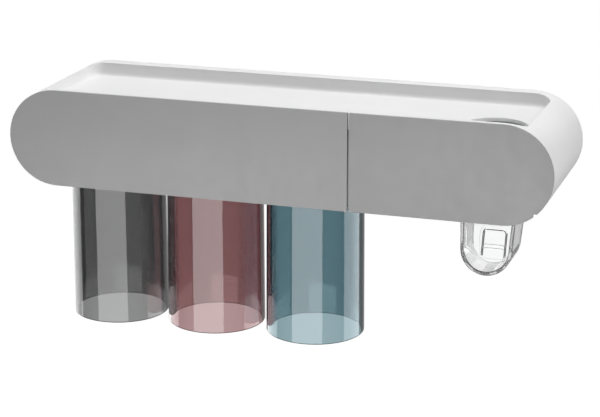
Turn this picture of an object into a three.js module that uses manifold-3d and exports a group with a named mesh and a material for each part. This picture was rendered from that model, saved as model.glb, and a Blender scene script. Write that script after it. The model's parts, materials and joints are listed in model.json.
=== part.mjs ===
// Wall-mounted toothbrush shelf: a white tray housing with a grey two-part fascia, a brush comb behind it,
// three cups held mouth down by magnets, and a pull-out toothpaste squeezer with a clear push lever.
// Millimetres. X runs to the right seen from the front, Y towards the wall, Z up.
// The origin is the middle of the adhesive pad's back, in the wall's plane.
import * as THREE from 'three';
import { mergeVertices } from 'three/addons/utils/BufferGeometryUtils.js';
import Module from 'manifold-3d';

const wasm = await Module();
wasm.setup();

// Overall body, a round-ended bar cut flat below
const SHELF_LENGTH = 380;
const SHELF_HEIGHT = 67;
const SHELF_DEPTH = 104;
const UNDERSIDE_DROP = 24; // from the centre line to the flat underside
const WALL_GAP = 0.5; // rear edge to the wall

// Walls and clearances
const SKIN = 2.5; // wall of the housing
const RIB = 2; // stiffening ribs and the bay divider
const FIT = 0.3; // clearance round pieces that slide or drop in
const SEAT = 0.1; // clearance between faces that rest on each other
const BLEND = 0.5; // how far joined forms run into each other
const OVER = 1; // how far a cut runs past the face that it opens

// Fascia
const FASCIA_T = 2;
const SEAM = 1.2;
const CUP_FACE = 243.3; // left panel, from the shelf's left end to the seam
const LIP_T = 1.5; // locating lip inside the housing's front edge
const LIP_LENGTH = 5;
const LAP_T = 1.2; // strip on the left panel that backs the seam
const LAP = 3;
const FINGER_NOTCH = 12.7; // from the right end, at the lower edge
const PEG_R = 2;
const PEG_SPREAD = 26; // from the tube's axis
const PEG_Z = 4;

// Tray on top
const TRAY_DEPTH = 9.2;
const TRAY_FLOOR_T = 2.4;
const TRAY_LEFT_END = 22.2; // from the shelf's ends to the recess
const TRAY_RIGHT_END = 19.8;
const TRAY_CORNER = 10;
const FRONT_RIM = 3.9;

// Wall plate with an upturned hook, and the pad behind it
const PAD_T = 1;
const PAD_INSET = 3;
const PLATE_LENGTH = 190;
const PLATE_HEIGHT = 44;
const PLATE_T = 2;
const PLATE_CORNER = 6;
const HOOK_T = 2;
const HOOK_DEPTH = 10; // how far the housing's cleat drops in
const CLEAT_T = 1.8;
const CLEAT_INSET = 8; // from the plate's ends
const POCKET_CLEAR = 0.7; // in front of the hook
const REAR_RIB_OUT = 25; // rear ribs, from the plate's ends
const REAR_RIB_PITCH = 25;

// Base plate
const BASE_T = 3.2;
const RAIL_RISE = 6; // guide beside the squeezer's frame
const BASE_SCREW_R = 1.5;
const BASE_SCREW_LENGTH = 14;
const BASE_SCREW_HEAD_R = 2.8;
const BASE_SCREW_HEAD_T = 1.8;
const SCREW_CLEAR = 0.2;
const BOSS_R = 3.8;
const BOSS_CLEAR = 3; // from a boss to the magnet's collar or the frame's rail

// Brush bay behind the left fascia
const BRUSH_GAP = 16; // from the fascia to the comb's fingers
const BAY_CLEAR = 4.7; // from the bay's back to the magnets' collars
const BAY_T = 2.4;
const BAY_END = 11; // from the base plate's end
const BRUSH_COUNT = 5;
const BRUSH_SLOT = 8;
const BRUSH_SLOT_DEPTH = 9;
const BRUSH_SLOT_FLARE = 3;
const BAY_LEDGE = 3; // from the slots' ends to the base plate's edge

// Cups, hung mouth down
const CUP_COUNT = 3;
const CUP_END = 52.4; // from the shelf's left end to the first cup's axis
const CUP_PITCH = 74.3;
const CUP_AXIS = 65; // behind the fascia's front
const CUP_MOUTH_R = 34.8;
const CUP_BASE_R = 34.15;
const CUP_HEIGHT = 118;
const CUP_WALL = 2;
const CUP_BASE_T = 3;
const CUP_EDGE = 4; // outer fillet of the closed end
const DISC_R = 13;
const DISC_T = 1;

// Magnets in the base plate
const MAGNET_R = 12;
const MAGNET_T = 4;
const MAGNET_COVER = 1.2; // plastic left under the magnet
const COLLAR_T = 2;
const COLLAR_RISE = 7; // above the base plate
const CAP_FLANGE_T = 1.5;

// Squeezer frame
const TUBE_END = 45.7; // from the shelf's right end to the tube's axis
const TUBE_AXIS = 33.5; // behind the fascia's front
const TUBE_HOLE_R = 21.4;
const FRAME_SIDE = 8.6; // from the tube's socket to the frame's side
const FRAME_DEPTH = 77;
const FRAME_WALL = 2;
const SOCKET_DEPTH = 7.6;
const DECK_HOLE_R = 6;

// Pump
const SEAL_NECK_R = 5;
const SEAL_WALL = 2.2;
const PUMP_HALF = 11;
const PUMP_BAR_T = 12;
const PUMP_FRONT = 9; // in front of the tube's axis
const PUMP_LEG_T = 8;
const PUMP_CHAMFER = 3;
const VALVE_R = 4.6;
const VALVE_DEPTH = 6;
const CHANNEL_R = 2;
const NOZZLE_FLANGE_R = 7;
const NOZZLE_FLANGE_T = 2;
const NOZZLE_WALL = 1; // round its valve
const NOZZLE_R = 4.8;
const NOZZLE_TIP_R = 3.4;
const NOZZLE_DROP = 12; // tip below the base plate's underside
const DOME_R = 5;
const DOME_WALL = 1.1;
const DOME_FLANGE_R = 6;
const DOME_RAISE = 8.5; // its axis above the frame's floor
const SPRING_R = 7;
const SPRING_WIRE_R = 0.5;
const SPRING_TURNS = 4.5;
const PUMP_SCREW_X = 6.5;
const PUMP_SCREW_LENGTH = 8;

// Push lever: a clear hood, open in front, on two side arms
const HOOD_R = 17.5;
const HOOD_TOP_HALF = 19.1;
const HOOD_DROP = 48.4; // from the underside to the hood's lowest point
const HOOD_WALL = 2.6;
const HOOD_FRONT = 13.8; // behind the fascia, level with the hood's round
const HOOD_BACK = 40.4;
const HOOD_FRONT_TILT = THREE.MathUtils.degToRad(8.2);
const HOOD_BACK_TILT = THREE.MathUtils.degToRad(18.6);
const PAD_WIDTH = 17;
const PAD_HEIGHT = 21.6;
const PAD_RISE = 1;
const PAD_STEP = 2; // width of the low step round the pad
const PAD_STEP_RISE = 0.4;
const GROOVE = 1.2;
const GROOVE_PITCH = 2.4;
const PAD_CORNER = 3.5;
const PAD_DOWN = 4.1; // its middle below the hood's round
const PIVOT_AXIS = 40; // behind the fascia's front
const PIVOT_Z = 4;
const PIN_R = 2.5;
const ARM_R = 5;
const ARM_FRONT = THREE.MathUtils.degToRad(162); // where the arm's edges meet its round top
const ARM_REAR = THREE.MathUtils.degToRad(27);
const POST_T = 4;
const POST_HALF = 6.5;
const ARM_CLEAR = 0.7;
const LEVER_SWING = THREE.MathUtils.degToRad(11);

// Levels and places that follow from them
const END_R = SHELF_HEIGHT / 2;
const HALF = SHELF_LENGTH / 2;
const SHELF_FRONT_Y = -(SHELF_DEPTH + WALL_GAP);
const TRAY_Z = END_R - TRAY_DEPTH;
const CEILING_Z = TRAY_Z - TRAY_FLOOR_T;
const UNDER_Z = -UNDERSIDE_DROP;
const BASE_Z = UNDER_Z + BASE_T;
const FLOOR_Z = BASE_Z + SEAT;
const HOUSING_FRONT = FASCIA_T + SEAT;
const TRAY_FRONT = HOUSING_FRONT + FRONT_RIM;
const PLATE_FRONT = PAD_T + SEAT + PLATE_T; // these three are distances from the wall
const HOOK_BACK = PLATE_FRONT + CLEAT_T + 2 * FIT;
const POCKET = HOOK_BACK + HOOK_T + POCKET_CLEAR;
const POCKET_FRONT = SHELF_DEPTH + WALL_GAP - POCKET;
const TRAY_BACK = POCKET_FRONT - SKIN;
const TRAY_LEFT = TRAY_LEFT_END - HALF;
const TRAY_RIGHT = HALF - TRAY_RIGHT_END;
const HOOK_Z = PLATE_HEIGHT / 2 - HOOK_DEPTH;
const SEAM_X = CUP_FACE - HALF;
const TUBE_X = HALF - TUBE_END;
const BASE_HALF = HALF - END_R + Math.sqrt((END_R - SKIN) ** 2 - UNDERSIDE_DROP ** 2) - FIT;
const BAY_FRONT = FASCIA_T + BRUSH_GAP;
const COLLAR_R = MAGNET_R + FIT + COLLAR_T;
const BAY_BACK = CUP_AXIS - COLLAR_R - BAY_CLEAR;
const BAY_LEFT = BAY_END - BASE_HALF;
const BAY_RIGHT = SEAM_X - RIB / 2 - FIT;
const BASE_LEFT_FRONT = BAY_FRONT + BRUSH_SLOT_DEPTH + BAY_LEDGE;
const BASE_RIGHT_FRONT = HOUSING_FRONT + LAP_T + FIT;
const FRAME_TOP = CEILING_Z - FIT;
const SOCKET_R = TUBE_HOLE_R + FRAME_WALL;
const FRAME_HALF = SOCKET_R + FRAME_SIDE;
const FRAME_FLOOR_TOP = FLOOR_Z + FRAME_WALL;
const DECK_TOP = FRAME_TOP - SOCKET_DEPTH;
const DECK_Z = DECK_TOP - FRAME_WALL;
const PUMP_TOP = DECK_Z - SEAT;
const PUMP_UNDER = PUMP_TOP - PUMP_BAR_T;
const PUMP_REAR = FRAME_DEPTH - FRAME_WALL - FIT;
const LEG_FRONT = PUMP_REAR - PUMP_LEG_T;
const PUMP_SCREW_AXIS = (TUBE_AXIS + SOCKET_R + FRAME_DEPTH - FRAME_WALL) / 2; // midway behind the socket
const CHANNEL_Z = PUMP_TOP - VALVE_DEPTH - CHANNEL_R;
const DOME_Z = FRAME_FLOOR_TOP + DOME_RAISE;
const HOOD_Z = UNDER_Z - HOOD_DROP;
const ROUND_Z = HOOD_Z + HOOD_R;
const PRESS_FRONT = HOOD_BACK + (UNDER_Z - ROUND_Z) * Math.tan(HOOD_BACK_TILT);
const PRESS_REAR = PRESS_FRONT + HOOD_WALL;
const PRESS_TOP = DOME_Z + SPRING_R;
const POST_IN = HOOD_TOP_HALF + ARM_CLEAR;
const SWING_BACK = PRESS_REAR + (PIVOT_Z - UNDER_Z) * Math.sin(LEVER_SWING) + 2 * FIT;
const BOSS_FRONT = CUP_AXIS - MAGNET_R;
const BOSS_REAR = CUP_AXIS + MAGNET_R;
const FAR = 2 * SHELF_LENGTH; // longer than any piece, for half-space cuts
const END_STEPS = 12; // facets in a quarter of the round ends

const WHITE = { color: 0xeeeeec, roughness: 0.42 };
const GREY = { color: 0x9f9f9f, roughness: 0.55 };
const CLEAR = { color: 0xf4f6f6, roughness: 0.08, transparent: true, opacity: 0.35 };
const SILICONE = { color: 0xb9babb, roughness: 0.7 };
const STEEL = { color: 0xb4b6b8, roughness: 0.3, metalness: 1 };
const MAGNET = { color: 0x8c8e91, roughness: 0.35, metalness: 1 };
const FOAM = { color: 0xdcdcd8, roughness: 0.9 };
const CUP_TINTS = { grey: 0x77797b, pink: 0xb08a8c, blue: 0x7f9ba5 };

// A closed solid from a geometry, with its faces turned outwards
function solid(geometry) {
  geometry.deleteAttribute('normal');
  geometry.deleteAttribute('uv');
  const merged = mergeVertices(geometry);
  const points = merged.attributes.position.array;
  const corners = merged.index.array;
  const triangles = [];
  for (let i = 0; i < corners.length; i += 3) {
    const [a, b, c] = [corners[i], corners[i + 1], corners[i + 2]];
    if (a !== b && b !== c && c !== a) triangles.push([a, b, c]);
  }
  const corner = (i) => new THREE.Vector3().fromArray(points, 3 * i);
  const volume = triangles.reduce((sum, [a, b, c]) => sum + corner(a).dot(corner(b).cross(corner(c))), 0);
  const outward = volume > 0 ? triangles : triangles.map(([a, b, c]) => [a, c, b]);
  return new wasm.Manifold(new wasm.Mesh({
    numProp: 3,
    vertProperties: Float32Array.from(points),
    triVerts: Uint32Array.from(outward.flat()),
  }));
}

function box(x0, x1, y0, y1, z0, z1) {
  const geometry = new THREE.BoxGeometry(x1 - x0, y1 - y0, z1 - z0);
  return solid(geometry.translate((x0 + x1) / 2, (y0 + y1) / 2, (z0 + z1) / 2));
}

function extrude(shape, depth, curveSegments) {
  return new THREE.ExtrudeGeometry(shape, { depth, curveSegments, bevelEnabled: false });
}

// Prisms: an outline in the two other axes, drawn out from one place to another along the named axis
function prismX(shape, x0, x1, segments = 3) {
  const turn = new THREE.Matrix4().set(0, 0, 1, x0, 1, 0, 0, 0, 0, 1, 0, 0, 0, 0, 0, 1);
  return solid(extrude(shape, x1 - x0, segments).applyMatrix4(turn));
}

function prismY(shape, y0, y1, segments = 3) {
  return solid(extrude(shape, y1 - y0, segments).rotateX(Math.PI / 2).translate(0, y1, 0));
}

function prismZ(shape, z0, z1, segments = 3) {
  return solid(extrude(shape, z1 - z0, segments).translate(0, 0, z0));
}

function rodX(r, x0, x1, y, z, sides = 16) {
  const geometry = new THREE.CylinderGeometry(r, r, x1 - x0, sides).rotateZ(Math.PI / 2);
  return solid(geometry.translate((x0 + x1) / 2, y, z));
}

function rodY(r, y0, y1, x, z, sides = 16) {
  const geometry = new THREE.CylinderGeometry(r, r, y1 - y0, sides);
  return solid(geometry.translate(x, (y0 + y1) / 2, z));
}

function rodZ(r, z0, z1, x, y, sides = 16) {
  const geometry = new THREE.CylinderGeometry(r, r, z1 - z0, sides).rotateX(Math.PI / 2);
  return solid(geometry.translate(x, y, (z0 + z1) / 2));
}

// A turned piece about the Z axis, from [radius, height] points that start and end on the axis or close
function turned(profile, sides) {
  const points = profile.map(([r, h]) => new THREE.Vector2(r, h));
  return solid(new THREE.LatheGeometry(points, sides).rotateX(Math.PI / 2));
}

function polygon(points) {
  return new THREE.Shape(points.map(([a, b]) => new THREE.Vector2(a, b)));
}

// A round-ended bar's outline, centred
function stadium(half, r) {
  const shape = new THREE.Shape();
  shape.moveTo(r - half, -r);
  shape.absarc(half - r, 0, r, -Math.PI / 2, Math.PI / 2, false);
  shape.absarc(r - half, 0, r, Math.PI / 2, 1.5 * Math.PI, false);
  return shape;
}

function roundedRectangle(a0, a1, b0, b1, r) {
  const shape = new THREE.Shape();
  shape.moveTo(a0 + r, b0);
  shape.absarc(a1 - r, b0 + r, r, -Math.PI / 2, 0, false);
  shape.absarc(a1 - r, b1 - r, r, 0, Math.PI / 2, false);
  shape.absarc(a0 + r, b1 - r, r, Math.PI / 2, Math.PI, false);
  shape.absarc(a0 + r, b0 + r, r, Math.PI, 1.5 * Math.PI, false);
  return shape;
}

// Points along a quarter round, from one angle to another, for turned profiles
function round(cr, ch, r, from, to, steps = 4) {
  return Array.from({ length: steps + 1 }, (_, i) => {
    const angle = from + ((to - from) * i) / steps;
    return [cr + r * Math.cos(angle), ch + r * Math.sin(angle)];
  });
}

function geometryOf(body) {
  const { vertProperties, triVerts } = body.getMesh();
  const geometry = new THREE.BufferGeometry();
  geometry.setAttribute('position', new THREE.BufferAttribute(vertProperties, 3));
  geometry.setIndex(new THREE.BufferAttribute(triVerts, 1));
  geometry.computeVertexNormals();
  return geometry;
}

function place(group, name, body, finish, x = 0, y = 0, z = 0) {
  const mesh = new THREE.Mesh(geometryOf(body), new THREE.MeshStandardMaterial(finish));
  mesh.name = name;
  mesh.position.set(x, y, z);
  group.add(mesh);
}

const above = (z) => box(-FAR, FAR, -FAR, FAR, z, FAR);
const below = (z) => box(-FAR, FAR, -FAR, FAR, -FAR, z);
const leftOf = (x) => box(-FAR, x, -FAR, FAR, -FAR, FAR);
const rightOf = (x) => box(x, FAR, -FAR, FAR, -FAR, FAR);

// Places that repeat
const cupX = Array.from({ length: CUP_COUNT }, (_, i) => CUP_END - HALF + i * CUP_PITCH);
const betweenCups = cupX.slice(1).map((x) => x - CUP_PITCH / 2);
const besideMagnet = COLLAR_R + BOSS_CLEAR + BOSS_R;
const besideFrame = TUBE_X - FRAME_HALF - FIT - RIB - BOSS_CLEAR - BOSS_R;
const bosses = [
  [cupX[0] - besideMagnet, BOSS_REAR],
  [cupX[CUP_COUNT - 1] + besideMagnet, BOSS_REAR],
  [besideFrame, BOSS_REAR],
  ...betweenCups.map((x) => [x, BOSS_FRONT]),
  [besideFrame, BOSS_FRONT],
];

// Wall plate, in distances from the wall
function wallPlate() {
  const outline = roundedRectangle(
    -PLATE_LENGTH / 2, PLATE_LENGTH / 2, -PLATE_HEIGHT / 2, PLATE_HEIGHT / 2, PLATE_CORNER,
  );
  const plate = prismY(outline, -PLATE_FRONT, -PAD_T - SEAT);
  const hook = polygon([
    [-PLATE_FRONT + BLEND, HOOK_Z],
    [-HOOK_BACK, HOOK_Z],
    [-HOOK_BACK, PLATE_HEIGHT / 2],
    [-HOOK_BACK - HOOK_T / 2, PLATE_HEIGHT / 2],
    [-HOOK_BACK - HOOK_T, PLATE_HEIGHT / 2 - HOOK_T],
    [-HOOK_BACK - HOOK_T, HOOK_Z - HOOK_T],
    [-PLATE_FRONT + BLEND, HOOK_Z - 2 * HOOK_T],
  ]);
  const reach = PLATE_LENGTH / 2 - PLATE_CORNER;
  return plate.add(prismX(hook, -reach, reach));
}

function adhesivePad() {
  const half = PLATE_LENGTH / 2 - PAD_INSET;
  const rise = PLATE_HEIGHT / 2 - PAD_INSET;
  return prismY(roundedRectangle(-half, half, -rise, rise, PLATE_CORNER), -PAD_T, 0);
}

// Housing: a hollow bar with the tray sunk in its top, open in front, below and behind
function trayHousing() {
  const inner = stadium(HALF - SKIN, END_R - SKIN);
  const cavity = prismY(inner, 0, TRAY_BACK, END_STEPS).intersect(below(CEILING_Z));
  const end = prismY(inner, TRAY_FRONT, TRAY_BACK, END_STEPS).intersect(above(CEILING_Z - BLEND));
  const pocket = prismY(inner, POCKET_FRONT, SHELF_DEPTH + OVER, END_STEPS);
  const tray = roundedRectangle(TRAY_LEFT, TRAY_RIGHT, TRAY_FRONT, TRAY_BACK, TRAY_CORNER);
  let body = prismY(stadium(HALF, END_R), HOUSING_FRONT, SHELF_DEPTH, END_STEPS)
    .intersect(above(UNDER_Z))
    .subtract(cavity)
    .subtract(end.intersect(leftOf(TRAY_LEFT - SKIN)))
    .subtract(end.intersect(rightOf(TRAY_RIGHT + SKIN)))
    .subtract(pocket)
    .subtract(prismZ(tray, TRAY_Z, FAR))
    .subtract(rodZ(TUBE_HOLE_R, CEILING_Z - OVER, TRAY_Z + OVER, TUBE_X, TUBE_AXIS, 40));
  const divider = box(
    SEAM_X - RIB / 2, SEAM_X + RIB / 2, TRAY_FRONT, TRAY_BACK + BLEND, FLOOR_Z, CEILING_Z + BLEND,
  );
  body = body.add(divider);
  for (const [x, y] of bosses) body = body.add(rodZ(BOSS_R, FLOOR_Z, CEILING_Z + BLEND, x, y));
  const roof = END_R - SKIN + BLEND;
  const cleatEnd = PLATE_LENGTH / 2 - CLEAT_INSET;
  const cleatBack = SHELF_DEPTH + WALL_GAP - PLATE_FRONT - FIT;
  body = body.add(box(-cleatEnd, cleatEnd, cleatBack - CLEAT_T, cleatBack, HOOK_Z + SEAT, roof));
  for (const side of [-1, 1]) {
    for (const n of [0, 1]) {
      const x = side * (PLATE_LENGTH / 2 + REAR_RIB_OUT + n * REAR_RIB_PITCH);
      const ribBack = SHELF_DEPTH - RIB / 2;
      body = body.add(box(x - RIB / 2, x + RIB / 2, POCKET_FRONT - BLEND, ribBack, UNDER_Z, roof));
    }
  }
  const pilotTop = UNDER_Z + BASE_SCREW_LENGTH + FIT;
  for (const [x, y] of bosses) {
    body = body.subtract(rodZ(BASE_SCREW_R + SCREW_CLEAR, FLOOR_Z - OVER, pilotTop, x, y));
  }
  return body;
}

// Base plate: closes the underside, holds the magnets, and is open in front for the brushes and the lever
function basePlate() {
  const notch = POST_IN + FIT;
  let body = box(-BASE_HALF, BASE_HALF, BASE_RIGHT_FRONT, TRAY_BACK - FIT, UNDER_Z, BASE_Z)
    .subtract(box(-FAR, BAY_RIGHT, -FAR, BASE_LEFT_FRONT, -FAR, FAR))
    .subtract(box(TUBE_X - notch, TUBE_X + notch, -FAR, SWING_BACK + FIT, -FAR, FAR));
  const rail = TUBE_X - FRAME_HALF - FIT;
  body = body.add(box(rail - RIB, rail, BASE_RIGHT_FRONT, FRAME_DEPTH, BASE_Z - BLEND, BASE_Z + RAIL_RISE));
  for (const x of cupX) {
    body = body
      .add(rodZ(COLLAR_R, BASE_Z - BLEND, BASE_Z + COLLAR_RISE, x, CUP_AXIS, 32))
      .subtract(rodZ(MAGNET_R + FIT, UNDER_Z + MAGNET_COVER, FAR, x, CUP_AXIS, 32));
  }
  for (const [x, y] of bosses) {
    body = body
      .subtract(rodZ(BASE_SCREW_R + SCREW_CLEAR, -FAR, 0, x, y))
      .subtract(rodZ(BASE_SCREW_HEAD_R + FIT, -FAR, UNDER_Z + BASE_SCREW_HEAD_T + SCREW_CLEAR, x, y));
  }
  return body;
}

// A pan-head screw pointing up, its head's underside at zero
function screw(headR, headT, shankR, length) {
  return turned([
    [0, -headT],
    ...round(headR - headT / 2, -headT / 2, headT / 2, -Math.PI / 2, 0, 2),
    [headR, 0],
    [shankR, 0],
    [shankR, length - shankR],
    [0, length],
  ], 12);
}

function magnet() {
  return turned([[0, 0], [MAGNET_R, 0], [MAGNET_R, MAGNET_T], [0, MAGNET_T]], 32);
}

// Plug over a magnet, with a flange on the collar's top
function magnetCap() {
  const top = BASE_Z + COLLAR_RISE + SEAT;
  const foot = UNDER_Z + MAGNET_COVER + MAGNET_T + 2 * SEAT;
  return turned([
    [0, foot],
    [MAGNET_R, foot],
    [MAGNET_R, top],
    [COLLAR_R, top],
    [COLLAR_R, top + CAP_FLANGE_T],
    [0, top + CAP_FLANGE_T],
  ], 32);
}

// Brush bay: a comb whose fingers hold the brush necks, with a wall behind and at both ends
function brushSlot(x) {
  const half = BRUSH_SLOT / 2;
  const mouth = half + BRUSH_SLOT_FLARE;
  const end = BAY_FRONT + BRUSH_SLOT_DEPTH - half;
  const shape = new THREE.Shape();
  shape.moveTo(x - mouth, BAY_FRONT - OVER);
  shape.lineTo(x + mouth, BAY_FRONT - OVER);
  shape.absarc(x + mouth, BAY_FRONT + BRUSH_SLOT_FLARE, BRUSH_SLOT_FLARE, -Math.PI / 2, -Math.PI, true);
  shape.absarc(x, end, half, 0, Math.PI, false);
  shape.absarc(x - mouth, BAY_FRONT + BRUSH_SLOT_FLARE, BRUSH_SLOT_FLARE, 0, -Math.PI / 2, true);
  return shape;
}

function brushComb() {
  const top = CEILING_Z - FIT;
  const bin = box(BAY_LEFT, BAY_RIGHT, BAY_FRONT, BAY_BACK, FLOOR_Z, top);
  const room = box(BAY_LEFT + BAY_T, BAY_RIGHT - BAY_T, -FAR, BAY_BACK - BAY_T, FLOOR_Z + BAY_T, FAR);
  let body = bin.subtract(room);
  const pitch = (BAY_RIGHT - BAY_LEFT) / BRUSH_COUNT;
  for (let i = 0; i < BRUSH_COUNT; i += 1) {
    const slot = brushSlot(BAY_LEFT + (i + 0.5) * pitch);
    body = body.subtract(prismZ(slot, FLOOR_Z - OVER, FLOOR_Z + BAY_T + OVER));
  }
  return body;
}

// Fascia: a flat round-ended panel in two parts, each with a lip that finds the housing's front edge
function fasciaPanel() {
  return prismY(stadium(HALF, END_R), 0, FASCIA_T, END_STEPS);
}

function locatingLip() {
  const out = SKIN + FIT;
  const back = FASCIA_T + LIP_LENGTH;
  return prismY(stadium(HALF - out, END_R - out), FASCIA_T - BLEND, back, END_STEPS)
    .subtract(prismY(stadium(HALF - out - LIP_T, END_R - out - LIP_T), 0, back + OVER, END_STEPS))
    .intersect(above(UNDER_Z))
    .intersect(below(CEILING_Z - FIT));
}

function leftFascia() {
  const top = CEILING_Z - FIT;
  const lipEnd = BAY_RIGHT - RIB;
  const bar = box(END_R - HALF, lipEnd, FASCIA_T - BLEND, FASCIA_T + LIP_LENGTH, top - LIP_T, top);
  const edge = SEAM_X - SEAM / 2;
  const lapBack = HOUSING_FRONT + LAP_T;
  const lap = box(edge - LAP, edge + SEAM + LAP, HOUSING_FRONT, lapBack, LAP - END_R, top)
    .add(box(edge - LAP, edge, FASCIA_T - BLEND, lapBack, LAP - END_R, top));
  return fasciaPanel()
    .intersect(leftOf(edge))
    .add(locatingLip().intersect(leftOf(0)))
    .add(bar)
    .add(lap);
}

function rightFascia() {
  let body = fasciaPanel().intersect(rightOf(SEAM_X + SEAM / 2));
  body = body.subtract(box(HALF - FINGER_NOTCH, FAR, -FAR, FAR, -FAR, UNDER_Z));
  body = body.add(locatingLip().intersect(rightOf(TUBE_X + FRAME_HALF + FIT)));
  for (const side of [-1, 1]) {
    const x = TUBE_X + side * PEG_SPREAD;
    body = body.add(rodY(PEG_R, FASCIA_T - BLEND, HOUSING_FRONT + 2 * FRAME_WALL, x, PEG_Z));
  }
  return body;
}

// Cup, closed end up at zero, with a shallow recess there for its steel disc
function cup() {
  const recess = DISC_T + 2 * SEAT;
  const lip = CUP_WALL / 2;
  const inR = CUP_BASE_R - CUP_WALL;
  const inEdge = CUP_EDGE - CUP_WALL / 2;
  return turned([
    [0, -recess],
    [DISC_R + FIT, -recess],
    [DISC_R + FIT, 0],
    ...round(CUP_BASE_R - CUP_EDGE, -CUP_EDGE, CUP_EDGE, Math.PI / 2, 0, 3),
    ...round(CUP_MOUTH_R - lip, lip - CUP_HEIGHT, lip, 0, -Math.PI, 4),
    ...round(inR - inEdge, -CUP_BASE_T - inEdge, inEdge, 0, Math.PI / 2, 2),
    [0, -CUP_BASE_T],
  ], 40);
}

function cupDisc() {
  return turned([[0, -DISC_T], [DISC_R, -DISC_T], [DISC_R, 0], [0, 0]], 32);
}

// Squeezer frame: a drawer with a deck for the tube's socket and two posts for the lever's pins
function squeezerFrame() {
  const inHalf = FRAME_HALF - FRAME_WALL;
  const inFront = HOUSING_FRONT + FRAME_WALL;
  const inRear = FRAME_DEPTH - FRAME_WALL;
  const leverFront = hoodFront(FLOOR_Z) - FIT;
  let body = box(-FRAME_HALF, FRAME_HALF, HOUSING_FRONT, FRAME_DEPTH, FLOOR_Z, FRAME_TOP)
    .subtract(box(-inHalf, inHalf, inFront, inRear, FRAME_FLOOR_TOP, FAR))
    .subtract(box(-POST_IN, POST_IN, leverFront, SWING_BACK, -FAR, FRAME_FLOOR_TOP + OVER));
  const deck = box(
    -inHalf - BLEND, inHalf + BLEND, inFront - BLEND, inRear + BLEND, DECK_Z, DECK_TOP,
  );
  body = body.add(deck);
  for (const [x0, x1] of [[-POST_IN - POST_T, -POST_IN], [POST_IN, POST_IN + POST_T]]) {
    const [y0, y1] = [PIVOT_AXIS - POST_HALF, PIVOT_AXIS + POST_HALF];
    body = body.add(box(x0, x1, y0, y1, FRAME_FLOOR_TOP - BLEND, DECK_Z + BLEND));
  }
  body = body
    .add(rodZ(SOCKET_R, DECK_TOP - BLEND, FRAME_TOP, 0, TUBE_AXIS, 40))
    .subtract(rodZ(TUBE_HOLE_R, DECK_TOP, FAR, 0, TUBE_AXIS, 40))
    .subtract(rodZ(DECK_HOLE_R, DECK_Z - OVER, DECK_TOP + OVER, 0, TUBE_AXIS, 24))
    .subtract(rodX(PIN_R + FIT, -POST_IN - POST_T - OVER, POST_IN + POST_T + OVER, PIVOT_AXIS, PIVOT_Z));
  for (const side of [-1, 1]) {
    const x = side * PUMP_SCREW_X;
    body = body
      .subtract(rodY(PEG_R + FIT, 0, inFront + OVER, side * PEG_SPREAD, PEG_Z))
      .subtract(rodZ(BASE_SCREW_R + SCREW_CLEAR, DECK_Z - OVER, DECK_TOP + OVER, x, PUMP_SCREW_AXIS));
  }
  return body;
}

// Soft funnel that grips the tube's neck
function tubeSeal() {
  const r = TUBE_HOLE_R - FIT;
  const foot = DECK_TOP + SEAT;
  const rim = FRAME_TOP - SEAL_WALL;
  return turned([
    [SEAL_NECK_R, foot],
    [r, foot],
    [r, rim],
    [r - SEAL_WALL, rim],
    [SEAL_NECK_R, foot + SEAL_WALL],
    [SEAL_NECK_R, foot],
  ], 40);
}

// Pump body: an angled block with the paste's channels bored in it
function pumpBody() {
  const front = TUBE_AXIS - PUMP_FRONT;
  const foot = FRAME_FLOOR_TOP + SEAT;
  const side = polygon([
    [front, PUMP_TOP],
    [front, PUMP_UNDER + PUMP_CHAMFER],
    [front + PUMP_CHAMFER, PUMP_UNDER],
    [LEG_FRONT, PUMP_UNDER],
    [LEG_FRONT, foot],
    [PUMP_REAR, foot],
    [PUMP_REAR, PUMP_TOP],
  ]);
  const legMiddle = LEG_FRONT + PUMP_LEG_T / 2;
  const channel = (y0, y1, z0, z1) => box(-CHANNEL_R, CHANNEL_R, y0, y1, z0, z1);
  let body = prismX(side, -PUMP_HALF, PUMP_HALF)
    .subtract(rodZ(VALVE_R + FIT, PUMP_TOP - VALVE_DEPTH, PUMP_TOP + OVER, 0, TUBE_AXIS))
    .subtract(rodZ(CHANNEL_R + FIT, PUMP_UNDER - OVER, PUMP_TOP, 0, TUBE_AXIS, 12))
    .subtract(channel(TUBE_AXIS, legMiddle, CHANNEL_Z - CHANNEL_R, CHANNEL_Z + CHANNEL_R))
    .subtract(channel(legMiddle - CHANNEL_R, legMiddle, DOME_Z - CHANNEL_R, CHANNEL_Z))
    .subtract(channel(LEG_FRONT - OVER, legMiddle, DOME_Z - CHANNEL_R, DOME_Z + CHANNEL_R));
  const pilot = PUMP_TOP - PUMP_SCREW_LENGTH - FIT;
  for (const x of [-PUMP_SCREW_X, PUMP_SCREW_X]) {
    body = body.subtract(rodZ(BASE_SCREW_R + SCREW_CLEAR, pilot, PUMP_TOP + OVER, x, PUMP_SCREW_AXIS));
  }
  return body;
}

// One-way valve: a collar that narrows to a soft beak, pointing down from zero
function duckbill(r, depth) {
  const wall = r / 3;
  const collar = depth / 3;
  return turned([
    [r - wall, 0],
    [r, 0],
    [r, -collar],
    [r / 2, -depth],
    [r / 6, -depth],
    [r - wall, -collar],
    [r - wall, 0],
  ], 16);
}

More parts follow.
